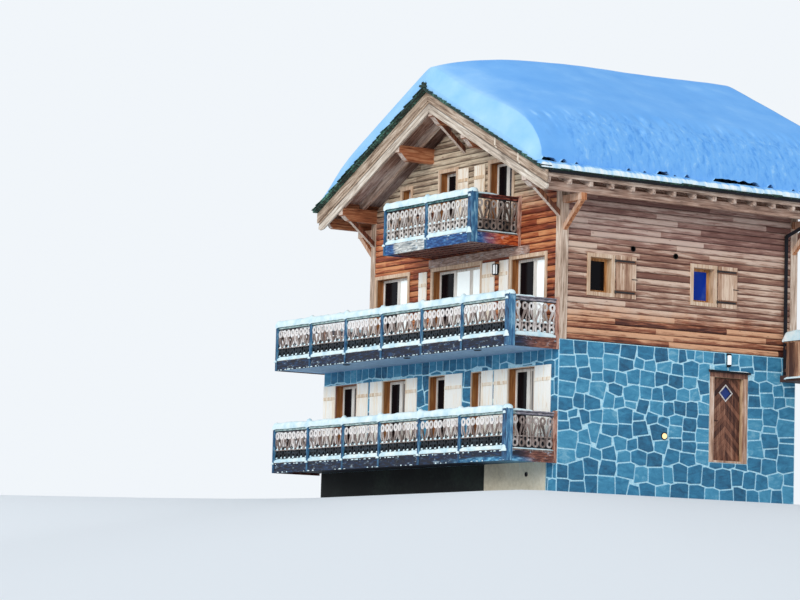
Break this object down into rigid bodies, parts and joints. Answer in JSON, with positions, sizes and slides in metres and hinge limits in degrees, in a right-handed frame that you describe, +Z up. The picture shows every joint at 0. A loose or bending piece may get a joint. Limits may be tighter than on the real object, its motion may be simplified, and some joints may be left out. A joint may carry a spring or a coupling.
{
  "type": "alpine chalet",
  "caption": "Alpine chalet with a stone ground storey, log storeys above, carved wooden balconies, a hinged side door and a broad snow laden gable roof.",
  "frame": {"origin": "middle of the whole outline seen from above, at the lowest ground the walls reach", "axes": "+Z up, the gable front with the balconies faces -Y, the side with the door faces +X"},
  "size_m": [12.48, 9.93, 11.3568],
  "materials": {
    "stone": "split slate blue stone with pale mortar",
    "floor_slab": "concrete",
    "floor_boards": "dark brown boards",
    "plaster": "smooth plaster",
    "logs_front": "orange brown logs, oiled",
    "logs_side": "weathered tan logs",
    "roof_timber": "brown beams",
    "soffit": "brown boards",
    "roofing": "dark green slate",
    "weathered_board": "silvered boards",
    "gutter_metal": "near black paint",
    "snow": "soft white",
    "fascia_paint": "dark blue stain",
    "fretwork": "weathered boards",
    "window_wood": "golden brown, oiled",
    "sash_paint": "white paint, satin",
    "window_glass": "clear",
    "shutter_wood": "pale larch boards",
    "door_wood": "brown boards",
    "lantern": "white paint with a pale glass body",
    "vent": "black paint",
    "landing_wood": "weathered boards"
  },
  "bodies": {
    "house": {"front_stone_wall": "stone", "right_stone_wall": "stone", "door_bay_stone_wall": "stone", "left_stone_wall": "stone", "back_stone_wall": "stone", "lower_floor": "floor_slab", "middle_floor": "floor_slab", "attic_floor": "floor_boards", "front_log_piers": "logs_front", "front_gable_wall": "logs_front", "right_log_wall": "logs_side", "left_log_wall": "logs_side", "back_gable_wall": "logs_side", "corner_posts": "roof_timber", "roof_purlins": "roof_timber", "wall_plates": "roof_timber", "eave_purlins": "roof_timber", "gable_braces": "roof_timber", "eave_brackets": "roof_timber", "rafters": "roof_timber", "roof_core": "soffit", "roof_deck": "soffit", "roof_covering": "roofing", "ridge_cap": "roofing", "barge_boards": "weathered_board", "eave_fascias": "weathered_board", "gutters": "gutter_metal", "downpipe": "gutter_metal", "roof_snow": "snow", "lower_balcony_deck": "floor_boards", "middle_balcony_deck": "plaster", "top_balcony_deck": "floor_boards", "balcony_fascias": "fascia_paint", "lower_railing_panels": "fretwork", "middle_railing_panels": "fretwork", "top_railing_panels": "fretwork", "railing_posts": "fascia_paint", "window_frames": "window_wood", "window_sashes": "sash_paint", "window_glass": "window_glass", "shutters": "shutter_wood", "door_frame": "window_wood", "wall_lanterns": "lantern", "wall_vents": "vent", "side_landing": "landing_wood", "landing_parapet": "landing_wood"},
    "side_door": {"side_door": "door_wood", "side_door_glass": "window_glass"}
  },
  "joints": [
    {"name": "side_door_hinge", "type": "hinge", "parent": "house", "child": "side_door", "pos_m": [4.547, 2.027, 2.1], "axis": [0, 0, -1], "range_deg": [0, 90]}
  ]
}
